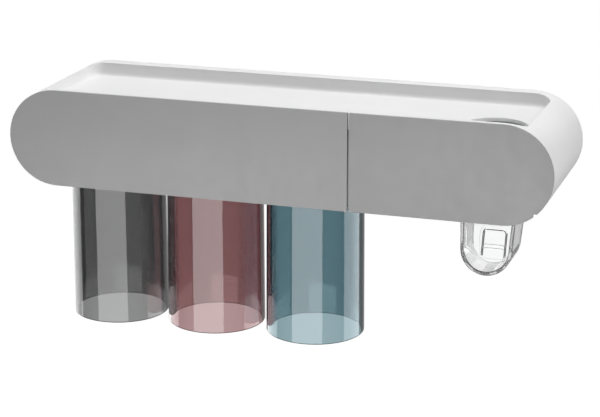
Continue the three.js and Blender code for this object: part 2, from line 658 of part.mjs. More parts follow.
function nozzle() {
  const top = PUMP_UNDER - SEAT;
  const tip = UNDER_Z - NOZZLE_DROP;
  const seat = top - VALVE_DEPTH;
  return turned([
    [VALVE_R + FIT, top],
    [NOZZLE_FLANGE_R, top],
    [NOZZLE_FLANGE_R, top - NOZZLE_FLANGE_T],
    [VALVE_R + FIT + NOZZLE_WALL, top - NOZZLE_FLANGE_T],
    [VALVE_R + FIT + NOZZLE_WALL, seat - NOZZLE_WALL],
    [NOZZLE_R, seat - 3 * NOZZLE_WALL],
    [NOZZLE_TIP_R, tip],
    [CHANNEL_R, tip],
    [CHANNEL_R, seat - NOZZLE_WALL],
    [VALVE_R + FIT, seat],
    [VALVE_R + FIT, top],
  ], 20);
}

// Soft pump dome, its flange on the pump's leg and its tip towards the lever
function pumpDome(length) {
  const inR = DOME_R - DOME_WALL;
  const body = turned([
    [inR, 0],
    [DOME_FLANGE_R, 0],
    [DOME_FLANGE_R, DOME_WALL],
    [DOME_R, DOME_WALL],
    ...round(0, length - DOME_R, DOME_R, 0, Math.PI / 2),
    ...round(0, length - DOME_R, inR, Math.PI / 2, 0),
    [inR, 0],
  ], 20);
  return body.rotate([90, 0, 0]);
}

class Helix extends THREE.Curve {
  constructor(r, length, turns) {
    super();
    this.r = r;
    this.length = length;
    this.turns = turns;
  }

  getPoint(t, target = new THREE.Vector3()) {
    const angle = 2 * Math.PI * this.turns * t;
    return target.set(this.r * Math.cos(angle), -this.length * t, this.r * Math.sin(angle));
  }
}

function returnSpring(length) {
  const wire = new THREE.Shape();
  wire.absarc(0, 0, SPRING_WIRE_R, 0, 2 * Math.PI, false);
  const extrudePath = new Helix(SPRING_R, length - 2 * SPRING_WIRE_R, SPRING_TURNS);
  const steps = Math.round(SPRING_TURNS * 14);
  const geometry = new THREE.ExtrudeGeometry(wire, { steps, extrudePath, curveSegments: 3 });
  return solid(geometry.translate(0, -SPRING_WIRE_R, 0));
}

// Push lever
function hoodFront(z) {
  return HOOD_FRONT + (z - ROUND_Z) * Math.tan(HOOD_FRONT_TILT);
}

function hoodBack(z) {
  return HOOD_BACK + (z - ROUND_Z) * Math.tan(HOOD_BACK_TILT);
}

// The hood's outline seen from the front: a U that widens a little upwards
function hoodOutline(inset, top) {
  const r = HOOD_R - inset;
  const half = HOOD_TOP_HALF - inset;
  const shape = new THREE.Shape();
  shape.moveTo(-half, top);
  shape.lineTo(-half, UNDER_Z);
  shape.absarc(0, ROUND_Z, r, Math.PI, 2 * Math.PI, false);
  shape.lineTo(half, UNDER_Z);
  shape.lineTo(half, top);
  return shape;
}

// Side view of the hood and the arm that carries it
function leverSide() {
  const shape = new THREE.Shape();
  const knee = FRAME_FLOOR_TOP + FIT;
  const thick = HOOD_WALL / Math.cos(HOOD_BACK_TILT);
  shape.moveTo(hoodFront(HOOD_Z), HOOD_Z);
  shape.lineTo(hoodFront(knee), knee);
  shape.absarc(PIVOT_AXIS, PIVOT_Z, ARM_R, ARM_FRONT, ARM_REAR, true);
  shape.lineTo(PRESS_REAR, PRESS_TOP);
  shape.lineTo(PRESS_REAR, UNDER_Z);
  shape.lineTo(hoodBack(HOOD_Z) + thick, HOOD_Z);
  return shape;
}

// The plate that closes the hood's back and rises to press the pump's dome
function leverBack() {
  const thick = HOOD_WALL / Math.cos(HOOD_BACK_TILT);
  return polygon([
    [hoodBack(HOOD_Z), HOOD_Z],
    [PRESS_FRONT, UNDER_Z],
    [PRESS_FRONT, PRESS_TOP],
    [PRESS_REAR, PRESS_TOP],
    [PRESS_REAR, UNDER_Z],
    [hoodBack(HOOD_Z) + thick, HOOD_Z],
  ]);
}

// Raised pad on the back plate, with two cross grooves for grip
function thumbPad() {
  const [w, h] = [PAD_WIDTH / 2, PAD_HEIGHT / 2];
  const outline = (out) => roundedRectangle(-w - out, w + out, -h - out, h + out, PAD_CORNER + out);
  const groove = (z) => box(PAD_STEP - w, w - PAD_STEP, -FAR, -PAD_RISE / 2, z - GROOVE, z);
  const z = ROUND_Z - PAD_DOWN;
  const tilt = THREE.MathUtils.radToDeg(HOOD_BACK_TILT);
  return prismY(outline(0), -PAD_RISE, BLEND)
    .subtract(groove(0))
    .subtract(groove(-GROOVE_PITCH))
    .add(prismY(outline(PAD_STEP), -PAD_STEP_RISE, BLEND))
    .rotate([-tilt, 0, 0])
    .translate([0, hoodBack(z), z]);
}

function pushLever() {
  const top = PIVOT_Z + ARM_R + OVER;
  const outer = prismY(hoodOutline(0, top), 0, FRAME_DEPTH, 12);
  const inner = prismY(hoodOutline(HOOD_WALL, top + OVER), -OVER, FRAME_DEPTH + OVER, 12);
  const arms = outer.subtract(inner).intersect(prismX(leverSide(), -FRAME_HALF, FRAME_HALF, 6));
  const back = outer.intersect(prismX(leverBack(), -FRAME_HALF, FRAME_HALF));
  let body = arms.add(back).add(thumbPad());
  const pinEnd = POST_IN + POST_T - FIT;
  for (const side of [-1, 1]) {
    const [x0, x1] = [side * (HOOD_TOP_HALF - HOOD_WALL / 2), side * pinEnd].sort((a, b) => a - b);
    body = body.add(rodX(PIN_R, x0, x1, PIVOT_AXIS, PIVOT_Z));
  }
  return body;
}

// Assembly: the wall mount stands at the origin, the shelf is measured from the fascia's front face, and the
// squeezer from the tube's axis as well
const model = new THREE.Group();
const wallMount = new THREE.Group();
const shelf = new THREE.Group();
const squeezer = new THREE.Group();
shelf.position.set(0, SHELF_FRONT_Y, 0);
squeezer.position.set(TUBE_X, 0, 0);
shelf.add(squeezer);
model.add(wallMount, shelf);

place(wallMount, 'adhesive_pad', adhesivePad(), FOAM);
place(wallMount, 'wall_plate', wallPlate(), WHITE);

place(shelf, 'tray_housing', trayHousing(), WHITE);
place(shelf, 'base_plate', basePlate(), WHITE);
place(shelf, 'brush_comb', brushComb(), WHITE);
place(shelf, 'left_fascia', leftFascia(), GREY);
place(shelf, 'right_fascia', rightFascia(), GREY);

const baseShank = BASE_SCREW_LENGTH - BASE_SCREW_HEAD_T;
const baseScrew = screw(BASE_SCREW_HEAD_R, BASE_SCREW_HEAD_T, BASE_SCREW_R, baseShank);
const baseScrewZ = UNDER_Z + BASE_SCREW_HEAD_T + SEAT;
bosses.forEach(([x, y], i) => place(shelf, `base_screw_${i + 1}`, baseScrew, STEEL, x, y, baseScrewZ));

const magnetZ = UNDER_Z + MAGNET_COVER + SEAT;
Object.entries(CUP_TINTS).forEach(([tint, color], i) => {
  place(shelf, `magnet_${i + 1}`, magnet(), MAGNET, cupX[i], CUP_AXIS, magnetZ);
  place(shelf, `magnet_cap_${i + 1}`, magnetCap(), WHITE, cupX[i], CUP_AXIS, 0);
  const finish = { color, roughness: 0.12, transparent: true, opacity: 0.7 };
  place(shelf, `cup_${tint}`, cup(), finish, cupX[i], CUP_AXIS, UNDER_Z - SEAT);
  place(shelf, `cup_disc_${tint}`, cupDisc(), STEEL, cupX[i], CUP_AXIS, UNDER_Z - 2 * SEAT);
});

place(squeezer, 'squeezer_frame', squeezerFrame(), GREY);
place(squeezer, 'tube_seal', tubeSeal(), SILICONE, 0, TUBE_AXIS, 0);
place(squeezer, 'pump_body', pumpBody(), WHITE);
const valve = duckbill(VALVE_R, VALVE_DEPTH - SEAT);
place(squeezer, 'inlet_valve', valve, SILICONE, 0, TUBE_AXIS, PUMP_TOP);
place(squeezer, 'nozzle', nozzle(), WHITE, 0, TUBE_AXIS, 0);
place(squeezer, 'outlet_valve', valve, SILICONE, 0, TUBE_AXIS, PUMP_UNDER - SEAT);
const pressGap = LEG_FRONT - PRESS_REAR;
place(squeezer, 'pump_dome', pumpDome(pressGap - FIT - SEAT), SILICONE, 0, LEG_FRONT - SEAT, DOME_Z);
place(squeezer, 'return_spring', returnSpring(pressGap - FIT - SEAT), STEEL, 0, LEG_FRONT - SEAT, DOME_Z);
const pumpScrew = screw(BASE_SCREW_HEAD_R, BASE_SCREW_HEAD_T, BASE_SCREW_R, PUMP_SCREW_LENGTH + FRAME_WALL)
  .rotate([180, 0, 0]);
[-PUMP_SCREW_X, PUMP_SCREW_X].forEach((x, i) => {
  place(squeezer, `pump_screw_${i + 1}`, pumpScrew, STEEL, x, PUMP_SCREW_AXIS, DECK_TOP + SEAT);
});
place(squeezer, 'push_lever', pushLever(), CLEAR);

export default model;
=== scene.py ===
"""A wall-mounted toothbrush shelf: moulded housing with a sunken tray, grey fascia in two parts, three
tinted cups hung by magnets, and a toothpaste squeezer with a clear push lever. Metres, in the frame of the
CAD model: X to the right seen from the front, Y into the wall, Z up."""
import json
import math

import bmesh
import bpy
from mathutils import Matrix, Vector

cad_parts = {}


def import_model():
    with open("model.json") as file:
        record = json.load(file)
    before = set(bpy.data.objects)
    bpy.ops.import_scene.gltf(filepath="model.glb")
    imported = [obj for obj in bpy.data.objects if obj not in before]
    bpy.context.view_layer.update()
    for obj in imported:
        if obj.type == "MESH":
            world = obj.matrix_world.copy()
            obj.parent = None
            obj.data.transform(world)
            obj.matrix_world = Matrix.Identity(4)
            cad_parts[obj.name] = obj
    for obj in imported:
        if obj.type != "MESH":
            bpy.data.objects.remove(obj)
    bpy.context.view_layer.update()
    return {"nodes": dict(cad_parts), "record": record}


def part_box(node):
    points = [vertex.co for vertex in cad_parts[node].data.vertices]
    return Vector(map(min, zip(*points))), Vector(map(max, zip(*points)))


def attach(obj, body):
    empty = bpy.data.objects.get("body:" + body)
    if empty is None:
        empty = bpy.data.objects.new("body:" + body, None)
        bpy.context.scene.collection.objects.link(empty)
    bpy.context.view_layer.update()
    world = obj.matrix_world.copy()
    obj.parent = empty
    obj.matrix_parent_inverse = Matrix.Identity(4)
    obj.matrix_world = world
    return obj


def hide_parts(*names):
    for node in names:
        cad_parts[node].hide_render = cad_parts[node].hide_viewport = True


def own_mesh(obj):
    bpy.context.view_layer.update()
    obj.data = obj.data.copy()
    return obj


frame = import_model()
scene = bpy.context.scene
MM = 0.001

# Camera, at the view solved from the photograph
CAMERA_AT = Vector((412.06, -1325.89, 345.98)) * MM
CAMERA_LOOKS_AT = Vector((20.40, -104.50, -34.12)) * MM
CAMERA_LENS = 120.63  # this and the sensor in millimetres, as Blender takes them
CAMERA_SENSOR = 36.0

# Light levels, as radiance: 1 is the white of the background
AMBIENT = 0.07
FRONT_GLOW = 0.6
FLOOR_LIFT = 0.93
FLOOR_GLOSS = 0.4  # share of the lift that shows in what mirrors the floor

# Where the world's glow to the left and to the front begins and is full, as a direction's X or Y
GLOW_EDGE = 0.1
GLOW_FULL = -0.2

# Floor and dark flags
FLOOR_TONE = (0.6, 0.6, 0.6, 1)
FLOOR_Z = -1.2
FLOOR_R = 7.0
FLAG_TONE = (0.04, 0.04, 0.04, 1)

# Finishes, in linear colour
WHITE = (0.86, 0.86, 0.86)
GREY = (0.335, 0.335, 0.335)
SILICONE = (0.62, 0.63, 0.64)
STEEL = (0.62, 0.63, 0.64)
NICKEL = (0.70, 0.69, 0.66)
FOAM = (0.74, 0.74, 0.71)
CLEAR = (0.985, 0.99, 0.99)
CLEAR_DENSITY = 29.0  # loss of light per metre
TINTS = {  # what one cup wall lets through
    "grey": (0.262, 0.262, 0.265),
    "pink": (0.435, 0.283, 0.29),
    "blue": (0.287, 0.402, 0.436),
}
PLASTIC_IOR = 1.49

# The middle range of a noise, which its effects are spread over
NOISE_LOW = 0.3
NOISE_HIGH = 0.7

# Cup and disc, in the CAD's sizes
CUP_BASE_R = 34.15 * MM
CUP_WALL = 2.0 * MM
CUP_BASE_T = 3.0 * MM
CUP_EDGE = 4.0 * MM
CUP_RECESS = 1.2 * MM
CUP_RECESS_R = 13.3 * MM
LIP_FLAT = 0.01 * MM  # half the flat between the two rounds of the lip
ROUND_SIDES = 128

# Tray: the height of its floor, and a fillet at its foot that is the scene's own
TRAY_FLOOR_Z = 24.3 * MM
TRAY_FOOT = 3.0 * MM
FOOT_STEPS = 6

# Rounding of edges
HOUSING_EDGE = 0.5 * MM
PLATE_EDGE = 0.4 * MM
PANEL_EDGE = 0.35 * MM
SMALL_EDGE = 0.3 * MM
FINE_EDGE = 0.2 * MM
SHARP = math.radians(35)  # edges that turn by more than this are rounded

# How near points, heights and faces count as the same
SAME_POINT = 0.002 * MM
SAME_HEIGHT = 0.05 * MM
SAME_PLANE = math.radians(0.5)

# Magnet caps, screws, seal, valves, nozzle, dome and spring, in the CAD's sizes. The thread, the cross
# recess and the edges are the scene's own.
CAP_FLANGE_T = 1.5 * MM
SCREW_R = 1.5 * MM
SCREW_HEAD_T = 1.8 * MM
SCREW_EDGE = 0.8 * MM
SCREW_POINT = 1.5 * MM
SCREW_SIDES = 32
THREAD_PITCH = 1.0 * MM
THREAD_DEPTH = 0.3 * MM
THREAD_ROWS = 8  # rows of points to a pitch
THREAD_FLANK = 0.3  # each flank, as a share of the pitch
CROSS_REACH = 1.5 * MM
CROSS_HALF = 0.4 * MM
CROSS_DEPTH = 1.1 * MM
CROSS_TAPER = 0.7
SEAL_NECK_R = 5.0 * MM
SEAL_LIP = 2.2 * MM
SEAL_EDGE = 0.4 * MM
VALVE_RIM = 1 / 3  # of the valve's depth; the next four are shares of its radius
VALVE_BORE = 2 / 3
VALVE_SEAM = 0.8
VALVE_TIP = 1 / 2
VALVE_SLIT = 1 / 6
NOZZLE_SEAT_R = 4.9 * MM
NOZZLE_NECK_R = 5.9 * MM
NOZZLE_NECK = 7.0 * MM
NOZZLE_FLANGE_T = 2.0 * MM
NOZZLE_SHOULDER = 2.0 * MM
NOZZLE_STEP = 1.0 * MM
NOZZLE_EDGE = 0.25 * MM
NOZZLE_R = 4.8 * MM
NOZZLE_TIP_R = 3.4 * MM
NOZZLE_BORE_R = 2.0 * MM
DOME_R = 5.0 * MM
DOME_WALL = 1.1 * MM
DOME_STEPS = 16
SPRING_WIRE_R = 0.5 * MM
SPRING_TURNS = 4.5
SPRING_STEPS = 40  # to a turn
SPRING_SIDES = 12

# Push lever, in the CAD's sizes apart from its rounded edges: across from the tube's axis, back from the
# fascia's front, and up
TUBE_X = 144.3 * MM
FASCIA_Y = -104.5 * MM
UNDER_Z = -24.0 * MM
HOOD_R = 17.5 * MM
HOOD_TOP_HALF = 19.1 * MM
HOOD_Z = -72.4 * MM
ROUND_Z = HOOD_Z + HOOD_R
HOOD_WALL = 2.6 * MM
HOOD_FRONT = 13.8 * MM
HOOD_BACK = 40.4 * MM
FRONT_TILT = math.radians(8.2)
BACK_TILT = math.radians(18.6)
RIM_EDGE = 0.7 * MM
REAR_EDGE = 1.2 * MM
INNER_FILLET = 0.5 * MM
PRESS_TOP = -3.2 * MM
KNEE_Z = -18.4 * MM
PIVOT_Y = 40.0 * MM
PIVOT_Z = 4.0 * MM
PIN_R = 2.5 * MM
PIN_END = 23.5 * MM
ARM_R = 5.0 * MM
ARM_FRONT = math.radians(162)
ARM_REAR = math.radians(27)
ARM_ARC = range(32, 90, 6)  # degrees, up to the top of the arm's round
SIDE_STEPS = 6
ROUND_STEPS = 72
PAD_WIDTH = 17.0 * MM
PAD_HEIGHT = 21.6 * MM
PAD_CORNER = 3.5 * MM
PAD_RISE = 1.0 * MM
PAD_STEP = 2.0 * MM
PAD_STEP_RISE = 0.4 * MM
PAD_DOWN = 4.1 * MM
GROOVE = 1.2 * MM
GROOVE_PITCH = 2.4 * MM
GROOVE_DEPTH = 0.5 * MM

# Fine form of the lever's pad, the scene's own: a raised frame round a lower floor, and sloped grooves
PAD_FRAME = 1.5 * MM
PAD_CREST = 0.05  # half the crest, as a share of the frame's width
PAD_FLOOR = 0.2 * MM
PAD_CLEAR = 0.1 * MM  # from the hood's fillet to the pad's foot
PAD_STEP_EDGE = 0.35 * MM
GROOVE_SLOPE = 0.3 * MM
GROOVE_FLAT = 0.02 * MM  # half the flat between a groove end's rounds


# Materials
def new_material(name):
    material = bpy.data.materials.new(name)
    material.use_nodes = True
    nodes = material.node_tree.nodes
    return material, nodes, material.node_tree.links, nodes["Principled BSDF"]


def noise(nodes, links, scale, detail=3.0, stretch=(1, 1, 1)):
    """A noise in the object's own space, its scale in features per metre."""
    place = nodes.new("ShaderNodeTexCoord")
    mapping = nodes.new("ShaderNodeMapping")
    mapping.inputs["Scale"].default_value = stretch
    texture = nodes.new("ShaderNodeTexNoise")
    texture.inputs["Scale"].default_value = scale
    texture.inputs["Detail"].default_value = detail
    links.new(place.outputs["Object"], mapping.inputs["Vector"])
    links.new(mapping.outputs["Vector"], texture.inputs["Vector"])
    return texture.outputs["Fac"]


def spread(nodes, links, value, low, high):
    """The noise's middle range, mapped to run from low to high."""
    remap = nodes.new("ShaderNodeMapRange")
    remap.inputs["From Min"].default_value = NOISE_LOW
    remap.inputs["From Max"].default_value = NOISE_HIGH
    remap.inputs["To Min"].default_value = low
    remap.inputs["To Max"].default_value = high
    links.new(value, remap.inputs["Value"])
    return remap.outputs["Result"]


def mottled(nodes, links, value, colour, amount):
    """A colour that drifts by a small share of itself."""
    ramp = nodes.new("ShaderNodeValToRGB")
    ramp.color_ramp.elements[0].position = NOISE_LOW
    ramp.color_ramp.elements[1].position = NOISE_HIGH
    ramp.color_ramp.elements[0].color = (*[c * (1 - amount) for c in colour], 1)
    ramp.color_ramp.elements[1].color = (*[min(1, c * (1 + amount)) for c in colour], 1)
    links.new(value, ramp.inputs["Fac"])
    return ramp.outputs["Color"]


def grain(nodes, links, shader, height, depth, strength=0.4):
    """A fine relief from a noise, as deep as depth."""
    bump = nodes.new("ShaderNodeBump")
    bump.inputs["Strength"].default_value = strength
    bump.inputs["Distance"].default_value = depth
    links.new(height, bump.inputs["Height"])
    links.new(bump.outputs["Normal"], shader.inputs["Normal"])


def plastic(name, colour, roughness, gloss):
    """Moulded plastic: a fine spark-eroded grain, a slow drift of tone and an uneven sheen."""
    material, nodes, links, shader = new_material(name)
    tone = mottled(nodes, links, noise(nodes, links, scale=22, detail=2), colour, amount=0.015)
    links.new(tone, shader.inputs["Base Color"])
    patches = noise(nodes, links, scale=160, detail=4)
    sheen = spread(nodes, links, patches, roughness - 0.05, roughness + 0.05)
    links.new(sheen, shader.inputs["Roughness"])
    grain(nodes, links, shader, noise(nodes, links, scale=2600, detail=2), depth=0.02 * MM)
    shader.inputs["IOR"].default_value = PLASTIC_IOR
    shader.inputs["Specular IOR Level"].default_value = gloss
    return material


def clear_plastic(name, losses):
    """Polished see-through plastic. Losses are what each colour's light loses on its way in, per metre, and
    the surface has the faint drift that moulding leaves."""
    material, nodes, links, shader = new_material(name)
    streaks = noise(nodes, links, scale=14, detail=2, stretch=(1, 1, 0.3))
    tone = mottled(nodes, links, streaks, CLEAR, amount=0.01)
    links.new(tone, shader.inputs["Base Color"])
    shader.inputs["Roughness"].default_value = 0.0
    shader.inputs["Transmission Weight"].default_value = 1.0
    shader.inputs["IOR"].default_value = PLASTIC_IOR
    density = max(losses)
    depth = nodes.new("ShaderNodeVolumeAbsorption")
    depth.inputs["Color"].default_value = (*[1 - loss / density for loss in losses], 1)
    depth.inputs["Density"].default_value = density
    links.new(depth.outputs["Volume"], nodes["Material Output"].inputs["Volume"])
    return material


def wall_losses(tint):
    """Losses per metre that make one cup wall let this tint through."""
    return [-math.log(c) / CUP_WALL for c in tint]


def metal(name, colour, roughness):
    """Plated or drawn metal with a faint drift of tone and sheen."""
    material, nodes, links, shader = new_material(name)
    tone = mottled(nodes, links, noise(nodes, links, scale=300), colour, amount=0.05)
    links.new(tone, shader.inputs["Base Color"])
    sheen = spread(nodes, links, noise(nodes, links, scale=900), roughness - 0.08, roughness + 0.08)
    links.new(sheen, shader.inputs["Roughness"])
    grain(nodes, links, shader, noise(nodes, links, scale=2500, detail=2), depth=0.01 * MM, strength=0.25)
    shader.inputs["Metallic"].default_value = 1.0
    return material


def soft(name, colour, roughness, scatter):
    """Silicone or foam: light goes a little way in."""
    material, nodes, links, shader = new_material(name)
    tone = mottled(nodes, links, noise(nodes, links, scale=120), colour, amount=0.04)
    links.new(tone, shader.inputs["Base Color"])
    sheen = spread(nodes, links, noise(nodes, links, scale=400), roughness - 0.06, roughness + 0.06)
    links.new(sheen, shader.inputs["Roughness"])
    grain(nodes, links, shader, noise(nodes, links, scale=1800, detail=4), depth=0.05 * MM)
    shader.inputs["Subsurface Weight"].default_value = scatter
    shader.inputs["Subsurface Scale"].default_value = 1.0 * MM
    return material


white_plastic = plastic("white_plastic", WHITE, roughness=0.5, gloss=0.12)
grey_plastic = plastic("grey_plastic", GREY, roughness=0.55, gloss=0.4)
clear = clear_plastic("clear_plastic", [CLEAR_DENSITY] * 3)
cup_tints = {tint: clear_plastic(f"{tint}_cup_plastic", wall_losses(TINTS[tint])) for tint in TINTS}
silicone = soft("silicone", SILICONE, roughness=0.5, scatter=0.3)
foam = soft("foam_tape", FOAM, roughness=0.85, scatter=0.1)
steel = metal("steel", STEEL, roughness=0.32)
nickel = metal("nickel", NICKEL, roughness=0.25)

FINISH = {
    "white_plastic": white_plastic,
    "grey_plastic": grey_plastic,
    "clear_plastic": clear,
    "smoke_cup": cup_tints["grey"],
    "pink_cup": cup_tints["pink"],
    "blue_cup": cup_tints["blue"],
    "silicone": silicone,
    "steel": steel,
    "magnet": nickel,
    "foam_tape": foam,
}
SLOT_OF = {part["node"]: part["material_slot"] for part in frame["record"]["subparts"]}
BODY_OF = {node: body for body, nodes in frame["record"]["behaviour"]["bodies"].items() for node in nodes}


# Meshes
def stand_for(node, piece):
    """The piece takes the node's body, slot and finish, and is shown in its place."""
    piece.data.materials.clear()
    piece.data.materials.append(FINISH[SLOT_OF[node]])
    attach(piece, BODY_OF[node])
    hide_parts(node)
    return piece


def new_piece(name, bm):
    """The built mesh as a smooth-shaded object in the scene."""
    bmesh.ops.recalc_face_normals(bm, faces=bm.faces)
    mesh = bpy.data.meshes.new(name)
    bm.to_mesh(mesh)
    bm.free()
    mesh.polygons.foreach_set("use_smooth", [True] * len(mesh.polygons))
    piece = bpy.data.objects.new(name, mesh)
    scene.collection.objects.link(piece)
    return piece


def is_tray_foot(edge):
    """The hollow edges where the tray's walls meet its floor."""
    return not edge.is_convex and all(abs(v.co.z - TRAY_FLOOR_Z) < SAME_HEIGHT for v in edge.verts)


def refined(node, edge, steps=2, foot=0.0):
    """The node's own solid with its flat faces made whole and its edges rounded. With a foot, the tray's
    walls meet its floor in a fillet of that radius."""
    bm = bmesh.new()
    bm.from_mesh(frame["nodes"][node].data)
    bmesh.ops.remove_doubles(bm, verts=bm.verts, dist=SAME_POINT)
    bmesh.ops.dissolve_limit(bm, angle_limit=SAME_PLANE, verts=bm.verts, edges=bm.edges)
    if foot:
        corners = [e for e in bm.edges if is_tray_foot(e)]
        bmesh.ops.bevel(bm, geom=corners, offset=foot, segments=FOOT_STEPS, profile=0.5, affect="EDGES")
    piece = new_piece(f"{node}_form", bm)
    bevel = piece.modifiers.new("edges", "BEVEL")
    bevel.width = edge
    bevel.segments = steps
    bevel.limit_method = "ANGLE"
    bevel.angle_limit = SHARP
    bevel.harden_normals = True
    bevel.use_clamp_overlap = True
    return stand_for(node, piece)


def rounded(corners, steps=6):
    """A profile's (radius, height, fillet) corners as points, with each fillet an arc of that radius."""
    points = []
    for i, (r, h, fillet) in enumerate(corners):
        here = Vector((r, h))
        if fillet == 0 or i in (0, len(corners) - 1):
            points.append(here)
            continue
        before = (Vector(corners[i - 1][:2]) - here).normalized()
        after = (Vector(corners[i + 1][:2]) - here).normalized()
        half = before.angle(after) / 2
        centre = here + (before + after).normalized() * (fillet / math.sin(half))
        start = here + before * (fillet / math.tan(half)) - centre
        turn = start.angle_signed(here + after * (fillet / math.tan(half)) - centre)
        for k in range(steps + 1):
            points.append(centre + Matrix.Rotation(-turn * k / steps, 2) @ start)
    return points


def turned(name, corners, at, sides=ROUND_SIDES, steps=6, along=(0, 0, 1)):
    """A turned solid from a profile that starts and ends on its axis, or closes on itself."""
    bm = bmesh.new()
    points = rounded(corners, steps)
    closed = (points[0] - points[-1]).length < SAME_POINT
    if closed:
        points.pop()
    rings = []
    for r, h in points:
        if r < SAME_POINT:
            rings.append([bm.verts.new((0, 0, h))])
            continue
        angles = [2 * math.pi * k / sides for k in range(sides)]
        rings.append([bm.verts.new((r * math.cos(a), r * math.sin(a), h)) for a in angles])
    pairs = list(zip(rings, rings[1:] + rings[:1]))
    if not closed:
        pairs.pop()
    for low, high in pairs:
        for k in range(sides):
            n = (k + 1) % sides
            loop = [low[k % len(low)], low[n % len(low)], high[n % len(high)], high[k % len(high)]]
            bm.faces.new(list(dict.fromkeys(loop)))
    turn = Vector((0, 0, 1)).rotation_difference(Vector(along)).to_matrix().to_4x4()
    bmesh.ops.transform(bm, matrix=Matrix.Translation(at) @ turn, verts=bm.verts)
    piece = new_piece(name, bm)
    piece.modifiers.new("normals", "WEIGHTED_NORMAL")
    return piece


def loop_edges(bm, verts):
    """The edges round a loop of points, made where they are missing."""
    return [bm.edges.get(pair) or bm.edges.new(pair) for pair in zip(verts, verts[1:] + verts[:1])]


def axis_of(node):
    """The node's upright axis, with the height of its top, and its outer radius."""
    low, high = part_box(node)
    return Vector(((low.x + high.x) / 2, (low.y + high.y) / 2, high.z)), (high.x - low.x) / 2


# Housing, fascia and what is fixed to them
refined("tray_housing", HOUSING_EDGE, steps=3, foot=TRAY_FOOT)
refined("left_fascia", PANEL_EDGE, steps=3)
refined("right_fascia", PANEL_EDGE, steps=3)
refined("base_plate", SMALL_EDGE)
refined("brush_comb", PLATE_EDGE)
refined("wall_plate", PLATE_EDGE)
refined("adhesive_pad", FINE_EDGE)


# Cups with their steel discs
def cup(tint):
    """A cup hung mouth down, its lip round, with a recess for the disc in its closed end."""
    node = f"cup_{tint}"
    top, mouth = axis_of(node)
    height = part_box(node)[1].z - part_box(node)[0].z
    lip = CUP_WALL / 2 - LIP_FLAT
    corners = [
        (0, -CUP_RECESS, 0),
        (CUP_RECESS_R, -CUP_RECESS, FINE_EDGE),
        (CUP_RECESS_R, 0, SMALL_EDGE),
        (CUP_BASE_R, 0, CUP_EDGE),
        (mouth, -height, lip),
        (mouth - CUP_WALL, -height, lip),
        (CUP_BASE_R - CUP_WALL, -CUP_BASE_T, CUP_EDGE - CUP_WALL / 2),
        (0, -CUP_BASE_T, 0),
    ]
    stand_for(node, turned(f"{node}_form", corners, top))
    node = f"cup_disc_{tint}"
    top, radius = axis_of(node)
    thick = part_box(node)[1].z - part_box(node)[0].z
    corners = [(0, -thick, 0), (radius, -thick, FINE_EDGE), (radius, 0, FINE_EDGE), (0, 0, 0)]
    stand_for(node, turned(f"{node}_form", corners, top))


for tint in TINTS:
    cup(tint)


# Magnets in the base, with their caps
def lathed(node, corners, at, sides=96, along=(0, 0, 1)):
    """A small turned piece in the node's place."""
    return stand_for(node, turned(f"{node}_form", corners, at, sides, steps=4, along=along))


def magnet(number):
    node = f"magnet_{number}"
    top, radius = axis_of(node)
    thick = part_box(node)[1].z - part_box(node)[0].z
    lathed(node, [(0, -thick, 0), (radius, -thick, SMALL_EDGE), (radius, 0, SMALL_EDGE), (0, 0, 0)], top)
    node = f"magnet_cap_{number}"
    top, flange = axis_of(node)
    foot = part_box(node)[0].z - top.z
    lathed(node, [
        (0, foot, 0),
        (radius, foot, SMALL_EDGE),
        (radius, -CAP_FLANGE_T, SMALL_EDGE),
        (flange, -CAP_FLANGE_T, SMALL_EDGE),
        (flange, 0, SMALL_EDGE),
        (0, 0, 0),
    ], top)


for number in range(1, 1 + len(TINTS)):
    magnet(number)


# Squeezer: frame, pump, valves, nozzle, dome and spring
def valve(node):
    """A tapered silicone valve, from its rim's inner edge down to its tip and back up inside."""
    top, radius = axis_of(node)
    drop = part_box(node)[0].z - top.z
    bore = radius * VALVE_BORE
    rim = drop * VALVE_RIM
    lathed(node, [
        (radius * VALVE_SEAM, 0, 0),
        (radius, 0, FINE_EDGE),
        (radius, rim, FINE_EDGE),
        (radius * VALVE_TIP, drop, FINE_EDGE),
        (radius * VALVE_SLIT, drop, FINE_EDGE),
        (bore, rim, FINE_EDGE),
        (bore, 0, FINE_EDGE),
        (radius * VALVE_SEAM, 0, 0),
    ], top, sides=64)


def spring():
    """The return spring round the dome: a wire in a helix, cut off square at both ends."""
    node = "return_spring"
    low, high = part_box(node)
    mid = (low + high) / 2
    radius = (high.x - low.x) / 2 - SPRING_WIRE_R
    start, span = high.y - SPRING_WIRE_R, high.y - low.y - 2 * SPRING_WIRE_R
    bm = bmesh.new()
    rings = []
    steps = round(SPRING_TURNS * SPRING_STEPS)
    angles = [2 * math.pi * k / SPRING_SIDES for k in range(SPRING_SIDES)]
    wire = [(SPRING_WIRE_R * math.cos(a), SPRING_WIRE_R * math.sin(a)) for a in angles]
    for i in range(steps + 1):
        a = 2 * math.pi * SPRING_TURNS * i / steps
        out = Vector((math.cos(a), 0, math.sin(a)))
        centre = Vector((mid.x, start - span * i / steps, mid.z)) + radius * out
        rings.append([bm.verts.new(centre + out * p + Vector((0, q, 0))) for p, q in wire])
    for near, far in zip(rings, rings[1:]):
        for k in range(SPRING_SIDES):
            n = (k + 1) % SPRING_SIDES
            bm.faces.new((near[k], near[n], far[n], far[k]))
    bm.faces.new(rings[0])
    bm.faces.new(rings[-1])
    return stand_for(node, new_piece(f"{node}_form", bm))


